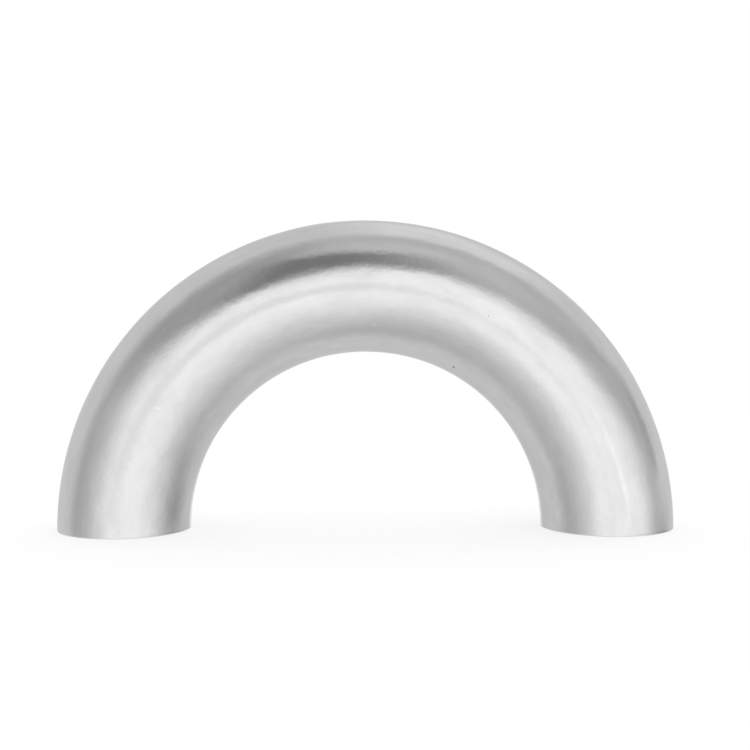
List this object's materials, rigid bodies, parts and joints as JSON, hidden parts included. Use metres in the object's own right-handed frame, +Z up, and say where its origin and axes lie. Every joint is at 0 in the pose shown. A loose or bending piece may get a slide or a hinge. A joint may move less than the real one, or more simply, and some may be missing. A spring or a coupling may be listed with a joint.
{
  "type": "return bend",
  "caption": "Half-circle return bend of thin-walled stainless steel tube with plain square ends for butt welding, turning a pipe run back on itself.",
  "frame": {"origin": "midway between the two end openings, in the plane of the cut ends, on which the part stands", "axes": "+X from the left opening to the right one, +Y away from the viewer along the axis the tube is bent round, +Z up to the crown of the bend"},
  "size_m": [0.1778, 0.038, 0.0889],
  "materials": {
    "stainless_tube": "satin"
  },
  "bodies": {
    "root": {"return_bend": "stainless_tube"}
  },
  "joints": []
}
